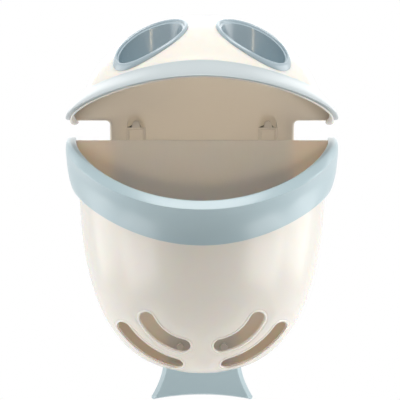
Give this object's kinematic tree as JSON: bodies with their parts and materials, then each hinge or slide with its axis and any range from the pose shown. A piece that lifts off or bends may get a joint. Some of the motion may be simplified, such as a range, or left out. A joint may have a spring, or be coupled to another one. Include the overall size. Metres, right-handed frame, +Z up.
{
  "type": "bath toy organizer",
  "caption": "Wall-hung bath toy organizer shaped like a fish: a fixed head with cups for eyes, and a draining lift-off basket with a tail.",
  "frame": {"origin": "on the tiles, at the centre of the wall plate's bearing pad, level with the rear of the mouth", "axes": "+Z up the wall, +Y into the wall, +X to the right of someone facing the organizer"},
  "size_m": [0.309, 0.1888, 0.4445],
  "materials": {
    "white_plastic": "glossy warm white moulding",
    "blue_grey_plastic": "satin blue-grey moulding",
    "clear_soft_plastic": "soft translucent",
    "screw_steel": "bright zinc"
  },
  "bodies": {
    "wall_unit": {"wall_plate": "white_plastic", "head_shell": "white_plastic", "upper_lip": "blue_grey_plastic", "suction_cup_upper_left": "clear_soft_plastic", "suction_cup_upper_right": "clear_soft_plastic", "suction_cup_lower_left": "clear_soft_plastic", "suction_cup_lower_right": "clear_soft_plastic", "head_screw_1": "screw_steel", "head_screw_2": "screw_steel", "head_screw_3": "screw_steel", "head_screw_4": "screw_steel"},
    "basket": {"basket_shell": "white_plastic", "lower_lip": "blue_grey_plastic", "tail_fin": "blue_grey_plastic", "tail_screw_left": "screw_steel", "tail_screw_right": "screw_steel"},
    "left_eye_cup": {"eye_cup_left": "blue_grey_plastic"},
    "right_eye_cup": {"eye_cup_right": "blue_grey_plastic"}
  },
  "joints": [
    {"name": "basket_lift", "type": "slide", "parent": "wall_unit", "child": "basket", "axis": [0, 0, 1], "range_m": [0, 0.01]},
    {"name": "left_eye_cup_lift", "type": "slide", "parent": "wall_unit", "child": "left_eye_cup", "axis": [0, 0, 1], "range_m": [0, 0.065]},
    {"name": "right_eye_cup_lift", "type": "slide", "parent": "wall_unit", "child": "right_eye_cup", "axis": [0, 0, 1], "range_m": [0, 0.065]}
  ]
}
